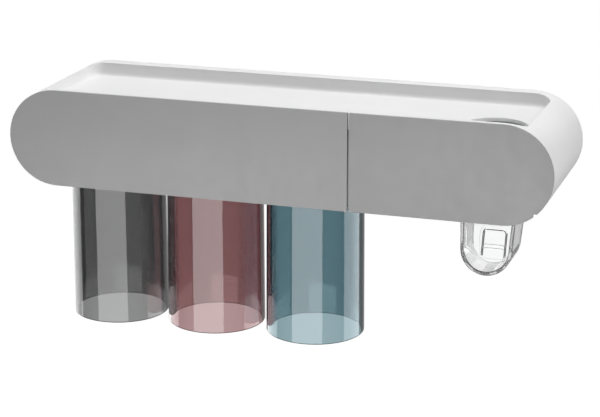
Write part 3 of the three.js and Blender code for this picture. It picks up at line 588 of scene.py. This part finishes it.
def dome():
    """The pump's silicone bellows dome, with its flange to the rear."""
    node = "pump_dome"
    low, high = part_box(node)
    at = Vector(((low.x + high.x) / 2, high.y, (low.z + high.z) / 2))
    height = high.y - low.y
    bend = height - DOME_R
    flange = (high.x - low.x) / 2
    arc = [math.pi / 2 * k / DOME_STEPS for k in range(DOME_STEPS + 1)]
    inner = DOME_R - DOME_WALL
    outside = [(DOME_R * math.sin(a), bend + DOME_R * math.cos(a), 0) for a in arc]
    inside = [(inner * math.sin(a), bend + inner * math.cos(a), 0) for a in reversed(arc)]
    foot = [
        (DOME_R, DOME_WALL, FINE_EDGE),
        (flange, DOME_WALL, FINE_EDGE),
        (flange, 0, FINE_EDGE),
        (inner, 0, FINE_EDGE),
    ]
    return lathed(node, outside + foot + inside, at, sides=64, along=(0, -1, 0))


def squeezer():
    refined("squeezer_frame", PANEL_EDGE)
    refined("pump_body", PLATE_EDGE)
    axis, radius = axis_of("tube_seal")
    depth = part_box("tube_seal")[0].z - axis.z
    seam = SEAL_NECK_R * 2
    lathed("tube_seal", [
        (seam, depth, 0),
        (radius, depth, SEAL_EDGE),
        (radius, 0, SEAL_EDGE),
        (radius - SEAL_LIP, 0, SEAL_EDGE),
        (SEAL_NECK_R, depth + SEAL_LIP, SEAL_EDGE),
        (SEAL_NECK_R, depth, SEAL_EDGE),
        (seam, depth, 0),
    ], axis)
    valve("inlet_valve")
    valve("outlet_valve")
    axis, flange = axis_of("nozzle")
    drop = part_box("nozzle")[0].z - axis.z
    edge = NOZZLE_EDGE
    lathed("nozzle", [
        (NOZZLE_SEAT_R + edge, 0, 0),
        (flange, 0, edge),
        (flange, -NOZZLE_FLANGE_T, edge),
        (NOZZLE_NECK_R, -NOZZLE_FLANGE_T, edge),
        (NOZZLE_NECK_R, -NOZZLE_NECK, edge),
        (NOZZLE_R, -NOZZLE_NECK - NOZZLE_SHOULDER, edge),
        (NOZZLE_TIP_R, drop, edge),
        (NOZZLE_BORE_R, drop, edge),
        (NOZZLE_BORE_R, -NOZZLE_NECK, edge),
        (NOZZLE_SEAT_R, NOZZLE_STEP - NOZZLE_NECK, edge),
        (NOZZLE_SEAT_R, 0, 0),
        (NOZZLE_SEAT_R + edge, 0, 0),
    ], axis, sides=64)
    for piece in (dome(), spring()):
        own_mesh(piece)


squeezer()


# Screws: pan head with a cross recess, and a rolled thread
def cross_outline(reach, half_width):
    """A cross, arm by arm, as far out as reach."""
    corners = [Vector((reach, -half_width)), Vector((reach, half_width)), Vector((half_width, half_width))]
    return [Matrix.Rotation(math.pi / 2 * k, 2) @ corner for k in range(4) for corner in corners]


def thread_radius(height, angle, foot, tip):
    """The shank's radius, with a ridge that winds round it and fades at both ends."""
    phase = (height / THREAD_PITCH + angle / (2 * math.pi)) % 1
    ridge = max(0, 1 - abs(phase - 0.5) / THREAD_FLANK)
    fade = min(1, (foot - height) / THREAD_PITCH, (height - tip) / THREAD_PITCH)
    return SCREW_R - THREAD_DEPTH * (1 - ridge * max(0, fade))


def screw(node, head_up):
    low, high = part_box(node)
    length = high.z - low.z
    head = (high.x - low.x) / 2
    tip = -length + SCREW_POINT
    bm = bmesh.new()
    angles = [2 * math.pi * k / SCREW_SIDES for k in range(SCREW_SIDES)]

    def ring(radius, height):
        return [bm.verts.new((radius * math.cos(a), radius * math.sin(a), height)) for a in angles]

    rows = round((length - SCREW_HEAD_T - SCREW_POINT) / THREAD_PITCH * THREAD_ROWS)
    heights = [-SCREW_HEAD_T + (tip + SCREW_HEAD_T) * k / rows for k in range(rows + 1)]
    rim = rounded([(head, -SCREW_HEAD_T, 0), (head, 0, SCREW_EDGE), (0, 0, 0)])[:-1]
    rings = [ring(r, h) for r, h in reversed(rim)]
    for h in heights:
        radii = [thread_radius(h, a, -SCREW_HEAD_T, tip) for a in angles]
        rings.append([bm.verts.new((r * math.cos(a), r * math.sin(a), h)) for r, a in zip(radii, angles)])
    point = bm.verts.new((0, 0, -length))
    for upper, lower in zip(rings, rings[1:]):
        for k in range(SCREW_SIDES):
            n = (k + 1) % SCREW_SIDES
            bm.faces.new((upper[k], upper[n], lower[n], lower[k]))
    for k in range(SCREW_SIDES):
        bm.faces.new((rings[-1][k], rings[-1][(k + 1) % SCREW_SIDES], point))
    outline = cross_outline(CROSS_REACH, CROSS_HALF)
    mouth = [bm.verts.new((*p, 0)) for p in outline]
    bottom = [bm.verts.new((*(p * CROSS_TAPER), -CROSS_DEPTH)) for p in outline]
    for k in range(len(mouth)):
        n = (k + 1) % len(mouth)
        bm.faces.new((mouth[k], mouth[n], bottom[n], bottom[k]))
    bm.faces.new(bottom)
    edges = loop_edges(bm, rings[0]) + loop_edges(bm, mouth)
    bmesh.ops.triangle_fill(bm, use_beauty=True, edges=edges, normal=(0, 0, 1))
    at = Vector(((low.x + high.x) / 2, (low.y + high.y) / 2, high.z if head_up else low.z))
    turn = Matrix.Identity(4) if head_up else Matrix.Rotation(math.pi, 4, "X")
    bmesh.ops.transform(bm, matrix=Matrix.Translation(at) @ turn, verts=bm.verts)
    piece = new_piece(f"{node}_form", bm)
    piece.modifiers.new("normals", "WEIGHTED_NORMAL")
    stand_for(node, piece)


for node in SLOT_OF:
    if "screw" in node:
        screw(node, head_up=node.startswith("pump"))


# Push lever: a clear hood with an open front, arms with pins, a press plate and a raised pad
def eased(level, low, high):
    """How far a level is from low to high, as a share."""
    return min(1, max(0, (level - low) / (high - low)))


def lever_front(z):
    """The front edge of the hood's sides and arms."""
    knee = HOOD_FRONT + (KNEE_Z - ROUND_Z) * math.tan(FRONT_TILT)
    turn_y = PIVOT_Y + ARM_R * math.cos(ARM_FRONT)
    turn_z = PIVOT_Z + ARM_R * math.sin(ARM_FRONT)
    if z < KNEE_Z:
        return HOOD_FRONT + (z - ROUND_Z) * math.tan(FRONT_TILT)
    if z < turn_z:
        return knee + (turn_y - knee) * eased(z, KNEE_Z, turn_z)
    return PIVOT_Y - math.sqrt(max(0, ARM_R ** 2 - (z - PIVOT_Z) ** 2))


def lever_plate(z):
    """The front face of the plate that closes the hood's back."""
    return HOOD_BACK + (min(z, UNDER_Z) - ROUND_Z) * math.tan(BACK_TILT)


def lever_rear(z):
    """The rear edge of the hood's sides and arms."""
    turn_y = PIVOT_Y + ARM_R * math.cos(ARM_REAR)
    turn_z = PIVOT_Z + ARM_R * math.sin(ARM_REAR)
    press = lever_plate(UNDER_Z) + HOOD_WALL
    if z < PRESS_TOP:
        return lever_plate(z) + HOOD_WALL / math.cos(BACK_TILT * eased(z, UNDER_Z, HOOD_Z))
    if z < turn_z:
        return press + (turn_y - press) * eased(z, PRESS_TOP, turn_z)
    return PIVOT_Y + math.sqrt(max(0, ARM_R ** 2 - (z - PIVOT_Z) ** 2))


def quarter(radius, from_angle, to_angle, steps=5):
    """Points of an arc round the origin."""
    angles = [from_angle + (to_angle - from_angle) * k / steps for k in range(steps + 1)]
    return [(radius * math.cos(a), radius * math.sin(a)) for a in angles]


def hood_levels():
    """Heights up the hood's sides and arms, from its round to the arms' tops."""
    turn_z = PIVOT_Z + ARM_R * math.sin(ARM_REAR)
    arc = [PIVOT_Z + ARM_R * math.sin(math.radians(a)) for a in ARM_ARC]
    straight = [ROUND_Z + (UNDER_Z - ROUND_Z) * k / SIDE_STEPS for k in range(1, SIDE_STEPS)]
    return straight + [UNDER_Z, KNEE_Z, PRESS_TOP, PIVOT_Z + ARM_R * math.sin(ARM_FRONT), turn_z] + arc


def hood_shell(bm):
    """The hood's walls and arms. Returns the edge loop round the plate's front, where the pad sits."""
    levels = hood_levels()
    sides = [(-1, z) for z in reversed(levels)], [(1, z) for z in levels]
    round_angles = [math.pi * (1 + k / ROUND_STEPS) for k in range(ROUND_STEPS + 1)]
    stations = [*sides[0], *[(None, a) for a in round_angles], *sides[1]]

    def spot(station, inset, anchor, out):
        side, value = station
        if side is None:
            x = (HOOD_R - inset) * math.cos(value)
            z = ROUND_Z + (HOOD_R - inset) * math.sin(value)
        else:
            half = HOOD_R + (HOOD_TOP_HALF - HOOD_R) * eased(value, ROUND_Z, UNDER_Z)
            x = side * (half - inset)
            z = value
        room = min(1, (lever_rear(z) - lever_front(z)) / (2 * (REAR_EDGE + RIM_EDGE)))
        return bm.verts.new((x, anchor(z) + out * room, z))

    square = math.pi / 2
    ring = [(REAR_EDGE - b, lever_rear, a - REAR_EDGE) for a, b in quarter(REAR_EDGE, 0, square)]
    ring += [(RIM_EDGE - a, lever_front, RIM_EDGE - b) for a, b in quarter(RIM_EDGE, 0, square)]
    ring += [(HOOD_WALL - RIM_EDGE + a, lever_front, RIM_EDGE - b) for a, b in quarter(RIM_EDGE, square, 0)]
    fillet = [(HOOD_WALL + INNER_FILLET - a, lever_plate, b - INNER_FILLET)
              for a, b in quarter(INNER_FILLET, 0, square)]
    shell = [[spot(station, *row) for row in ring] for station in stations]
    tall = [side is not None and value > PRESS_TOP for side, value in stations]
    top = [side is not None and value == PRESS_TOP for side, value in stations]
    bend = [None if up else [spot(station, *row) for row in fillet] for station, up in zip(stations, tall)]
    heel = [spot(station, HOOD_WALL, lever_rear, 0) if up or edge else None
            for station, up, edge in zip(stations, tall, top)]
    for j in range(len(stations) - 1):
        for k in range(len(ring) - 1):
            bm.faces.new((shell[j][k], shell[j + 1][k], shell[j + 1][k + 1], shell[j][k + 1]))
        if bend[j] and bend[j + 1]:
            bm.faces.new((shell[j][-1], shell[j + 1][-1], bend[j + 1][0], bend[j][0]))
            for k in range(len(fillet) - 1):
                bm.faces.new((bend[j][k], bend[j + 1][k], bend[j + 1][k + 1], bend[j][k + 1]))
            continue
        wall = [shell[j][-1], shell[j + 1][-1], heel[j + 1], heel[j]]
        if bend[j + 1]:
            wall.insert(2, bend[j + 1][0])
        if bend[j]:
            wall.append(bend[j][0])
        bm.faces.new(wall)
        bm.faces.new((heel[j], heel[j + 1], shell[j + 1][0], shell[j][0]))
    for end in (0, -1):
        bm.faces.new([*shell[end], heel[end]])
    left, right = (i for i, edge in enumerate(top) if edge)
    low_left, low_right = (i for i, (side, value) in enumerate(stations) if side and value == UNDER_Z)
    bm.faces.new([heel[left], *bend[left], *reversed(bend[right]), heel[right]])
    bm.faces.new([shell[j][0] for j in range(low_left, low_right + 1)])
    upper = [*[shell[j][0] for j in range(left, low_left + 1)],
             *[shell[j][0] for j in range(low_right, right + 1)], heel[right], heel[left]]
    bm.faces.new(upper)
    bm.faces.new([*[bend[j][-1] for j in range(left, low_left + 1)],
                  *[bend[j][-1] for j in range(low_right, right + 1)]])
    return [bend[j][-1] for j in range(low_left, low_right + 1)]


def round_box(half_width, low, high, corner, steps=8):
    """A rounded rectangle's points, corner by corner."""
    points = []
    for n, (sx, y) in enumerate(((1, high), (-1, high), (-1, low), (1, low))):
        centre = Vector((sx * (half_width - corner), y - math.copysign(corner, y - (low + high) / 2)))
        for a, b in quarter(corner, n * math.pi / 2, (n + 1) * math.pi / 2, steps):
            points.append(centre + Vector((a, b)))
    return points


def lever_pad(bm, plate):
    """The pad with its low step, raised frame and two cross grooves, set into the plate's front face."""
    z = ROUND_Z - PAD_DOWN
    origin = Vector((0, lever_plate(z), z))
    up = Vector((0, math.sin(BACK_TILT), math.cos(BACK_TILT)))
    out = Vector((0, -math.cos(BACK_TILT), math.sin(BACK_TILT)))

    def ring(points, height):
        return [bm.verts.new(origin + Vector((p.x, 0, 0)) + up * p.y + out * height) for p in points]

    def kept_in(point, reach):
        """The point, drawn in to the hood's round where the pad would run past it."""
        drop = point.y * math.cos(BACK_TILT) - PAD_DOWN
        share = reach / math.hypot(point.x, drop)
        if drop > 0 or share > 1:
            return point
        return Vector((point.x * share, (drop * share + PAD_DOWN) / math.cos(BACK_TILT)))

    def pad_ring(grow, height):
        half, rise = PAD_WIDTH / 2 + grow, PAD_HEIGHT / 2 + grow
        steps_in = 1 + (PAD_STEP - grow) / PAD_STEP + height / PAD_RISE
        reach = HOOD_R - HOOD_WALL - INNER_FILLET - PAD_CLEAR * steps_in
        points = round_box(half, -rise, rise, PAD_CORNER + grow)
        return ring([kept_in(point, reach) for point in points], height)

    def join(rings):
        for low, high in zip(rings, rings[1:]):
            for k in range(len(low)):
                n = (k + 1) % len(low)
                bm.faces.new((low[k], low[n], high[n], high[k]))

    profile = rounded([
        (PAD_STEP, 0, 0),
        (PAD_STEP, PAD_STEP_RISE, PAD_STEP_EDGE),
        (0, PAD_STEP_RISE, FINE_EDGE),
        ((PAD_CREST - 0.5) * PAD_FRAME, PAD_RISE, SMALL_EDGE),
        ((-PAD_CREST - 0.5) * PAD_FRAME, PAD_RISE, SMALL_EDGE),
        (-PAD_FRAME, PAD_FLOOR, FINE_EDGE),
        (-PAD_STEP - PAD_FRAME, PAD_FLOOR, 0),
    ], steps=5)
    rings = [pad_ring(grow, height) for grow, height in profile[:-1]]
    join(rings)
    fill = loop_edges(bm, plate) + loop_edges(bm, rings[0])
    bmesh.ops.triangle_fill(bm, use_beauty=True, edges=fill, normal=out)
    top = loop_edges(bm, rings[-1])
    slot_profile = rounded([
        (GROOVE_SLOPE, PAD_FLOOR, 0),
        (0, PAD_FLOOR, FINE_EDGE),
        (-GROOVE_SLOPE, PAD_FLOOR - GROOVE_DEPTH, FINE_EDGE),
        (-2 * GROOVE_SLOPE, PAD_FLOOR - GROOVE_DEPTH, 0),
    ], steps=4)
    half = PAD_WIDTH / 2 - PAD_STEP
    corner = GROOVE / 2 - GROOVE_FLAT
    for high in (0, -GROOVE_PITCH):
        rings = [ring(round_box(half + grow, high - GROOVE - grow, high + grow, corner + grow, 6), height)
                 for grow, height in slot_profile[1:-1]]
        join(rings)
        top += loop_edges(bm, rings[0])
        bm.faces.new(rings[-1])
    bmesh.ops.triangle_fill(bm, use_beauty=True, edges=top, normal=out)


def push_lever():
    bm = bmesh.new()
    lever_pad(bm, hood_shell(bm))
    bmesh.ops.translate(bm, vec=(TUBE_X, FASCIA_Y, 0), verts=bm.verts)
    piece = new_piece("push_lever_form", bm)
    piece.modifiers.new("normals", "WEIGHTED_NORMAL")
    stand_for("push_lever", piece)
    length = PIN_END - HOOD_TOP_HALF
    for side, name in ((-1, "left"), (1, "right")):
        at = Vector((TUBE_X + side * HOOD_TOP_HALF, FASCIA_Y + PIVOT_Y, PIVOT_Z))
        corners = [(0, 0, 0), (PIN_R, 0, 0), (PIN_R, length, SMALL_EDGE), (0, length, 0)]
        pin = turned(f"lever_pin_{name}", corners, at, sides=48, steps=4, along=(side, 0, 0))
        pin.data.materials.append(clear)
        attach(pin, "push_lever")


push_lever()


# Floor, world, lamps and camera
def calc(nodes, links, operation, *values):
    """A math node on values that are sockets or plain numbers."""
    node = nodes.new("ShaderNodeMath")
    node.operation = operation
    for socket, value in zip(node.inputs, values):
        if isinstance(value, float):
            socket.default_value = value
        else:
            links.new(value, socket)
    return node.outputs[0]


def floor():
    """A pale floor, lifted to white for the eye and through clear pieces, and less so in what mirrors it."""
    bm = bmesh.new()
    bmesh.ops.create_circle(bm, cap_ends=True, segments=96, radius=FLOOR_R)
    mesh = bpy.data.meshes.new("floor")
    bm.to_mesh(mesh)
    bm.free()
    piece = bpy.data.objects.new("floor", mesh)
    piece.location.z = FLOOR_Z
    scene.collection.objects.link(piece)
    material, nodes, links, shader = new_material("floor")
    shader.inputs["Base Color"].default_value = FLOOR_TONE
    shader.inputs["Roughness"].default_value = 0.9
    rays = nodes.new("ShaderNodeLightPath").outputs
    seen = calc(nodes, links, "MAXIMUM", rays["Is Camera Ray"], rays["Is Transmission Ray"])
    mirrored = calc(nodes, links, "MULTIPLY", rays["Is Glossy Ray"], FLOOR_GLOSS)
    either = calc(nodes, links, "MAXIMUM", seen, mirrored)
    lift = calc(nodes, links, "MULTIPLY", either, FLOOR_LIFT)
    shader.inputs["Emission Color"].default_value = (1, 1, 1, 1)
    links.new(lift, shader.inputs["Emission Strength"])
    piece.data.materials.append(material)


def world():
    """White to the eye, also through clear pieces and in what mirrors the left; dimmer in what mirrors the
    front, and faint elsewhere."""
    sky = bpy.data.worlds.new("studio")
    scene.world = sky
    sky.use_nodes = True
    nodes, links = sky.node_tree.nodes, sky.node_tree.links
    background = nodes["Background"]
    rays = nodes.new("ShaderNodeLightPath").outputs
    place = nodes.new("ShaderNodeTexCoord")
    split = nodes.new("ShaderNodeSeparateXYZ")
    links.new(place.outputs["Generated"], split.inputs["Vector"])
    sides = []
    for axis, share in (("X", 1.0), ("Y", FRONT_GLOW)):
        side = nodes.new("ShaderNodeMapRange")
        side.inputs["From Min"].default_value = GLOW_EDGE
        side.inputs["From Max"].default_value = GLOW_FULL
        side.inputs["To Max"].default_value = share
        links.new(split.outputs[axis], side.inputs["Value"])
        sides.append(side.outputs["Result"])
    glow = calc(nodes, links, "MAXIMUM", *sides)
    mirrored = calc(nodes, links, "MULTIPLY", rays["Is Glossy Ray"], glow)
    seen = calc(nodes, links, "MAXIMUM", rays["Is Camera Ray"], rays["Is Transmission Ray"])
    either = calc(nodes, links, "MAXIMUM", seen, mirrored)
    level = nodes.new("ShaderNodeMapRange")
    level.inputs["To Min"].default_value = AMBIENT
    level.inputs["To Max"].default_value = 1.0
    links.new(either, level.inputs["Value"])
    links.new(level.outputs["Result"], background.inputs["Strength"])
    background.inputs["Color"].default_value = (1, 1, 1, 1)


def softbox(name, at, looks_at, size, radiance, lights=True, mirrors=True, through=False):
    """A panel lamp. It lights surfaces, shows in their gloss, or shows through clear pieces."""
    width, height = size
    lamp = bpy.data.lights.new(name, "AREA")
    lamp.shape = "RECTANGLE"
    lamp.size = width
    lamp.size_y = height
    lamp.energy = radiance * math.pi * width * height
    holder = bpy.data.objects.new(name, lamp)
    holder.location = at
    direction = Vector(looks_at) - Vector(at)
    holder.rotation_euler = direction.to_track_quat("-Z", "Y").to_euler()
    holder.visible_camera = False
    holder.visible_transmission = through
    holder.visible_diffuse = lights
    holder.visible_glossy = mirrors
    scene.collection.objects.link(holder)


def flag(name, at, looks_at, size):
    """A dark card out of sight that shows in the edges of clear pieces."""
    bm = bmesh.new()
    bmesh.ops.create_grid(bm, x_segments=1, y_segments=1, size=0.5)
    bmesh.ops.scale(bm, vec=(*size, 1), verts=bm.verts)
    mesh = bpy.data.meshes.new(name)
    bm.to_mesh(mesh)
    bm.free()
    piece = bpy.data.objects.new(name, mesh)
    piece.location = at
    piece.rotation_euler = (Vector(looks_at) - Vector(at)).to_track_quat("Z", "Y").to_euler()
    scene.collection.objects.link(piece)
    material, _, _, shader = new_material(name)
    shader.inputs["Base Color"].default_value = FLAG_TONE
    shader.inputs["Roughness"].default_value = 1.0
    mesh.materials.append(material)
    piece.visible_camera = False
    piece.visible_diffuse = False
    piece.visible_glossy = False
    piece.visible_shadow = False


def camera():
    data = bpy.data.cameras.new("camera")
    data.lens = CAMERA_LENS
    data.sensor_width = CAMERA_SENSOR
    data.sensor_fit = "HORIZONTAL"
    data.clip_end = 50
    holder = bpy.data.objects.new("camera", data)
    holder.location = CAMERA_AT
    holder.rotation_euler = (CAMERA_LOOKS_AT - CAMERA_AT).to_track_quat("-Z", "Y").to_euler()
    scene.collection.objects.link(holder)
    scene.camera = holder


floor()
world()
camera()

# Lamps that light the surfaces
softbox("top_panel", (0.0, -0.15, 1.3), (0, -0.05, 0), size=(1.8, 1.2), radiance=1.22)
softbox("left_panel", (-0.5, 0.12, 1.25), (0, -0.05, 0), size=(0.9, 0.8), radiance=1.9)
softbox("right_panel", (1.35, 0.0, 1.65), (0.1, -0.05, 0), size=(1.5, 1.2), radiance=3.65)
softbox("right_fill", (1.4, -0.05, 0.16), (0.15, -0.05, 0), size=(1.0, 0.2), radiance=5.6,
        mirrors=False)
softbox("front_panel", (0.0, -1.3, -0.45), (0, -0.05, -0.05), size=(0.9, 0.6), radiance=5.7,
        mirrors=False)

# Cards that show as light bands in the cups, and dark flags that show in the edges of clear pieces
softbox("front_card", (-0.05, -1.30, -0.45), (0, -0.05, -0.45), size=(1.83, 0.87), radiance=4.3,
        lights=False)
softbox("right_card", (1.28, 0.55, -0.45), (0.35, 0.185, -0.45), size=(1.41, 0.8), radiance=3.2,
        lights=False, through=True)
softbox("left_card", (-0.685, 0.093, -0.25), (-0.01, -0.64, -0.25), size=(0.72, 0.5), radiance=2.5,
        lights=False, through=True)
flag("left_flag", (-2.07, 1.95, -0.45), (0.14, -0.08, -0.3), size=(1.55, 1.5))
flag("right_flag", (0.43, 1.08, -0.3), (0.14, -0.08, -0.05), size=(0.76, 1.2))
flag("upper_flag", (-0.35, 1.3, 0.35), (0.0, -0.05, -0.05), size=(0.7, 0.5))
scene.view_settings.view_transform = "Standard"
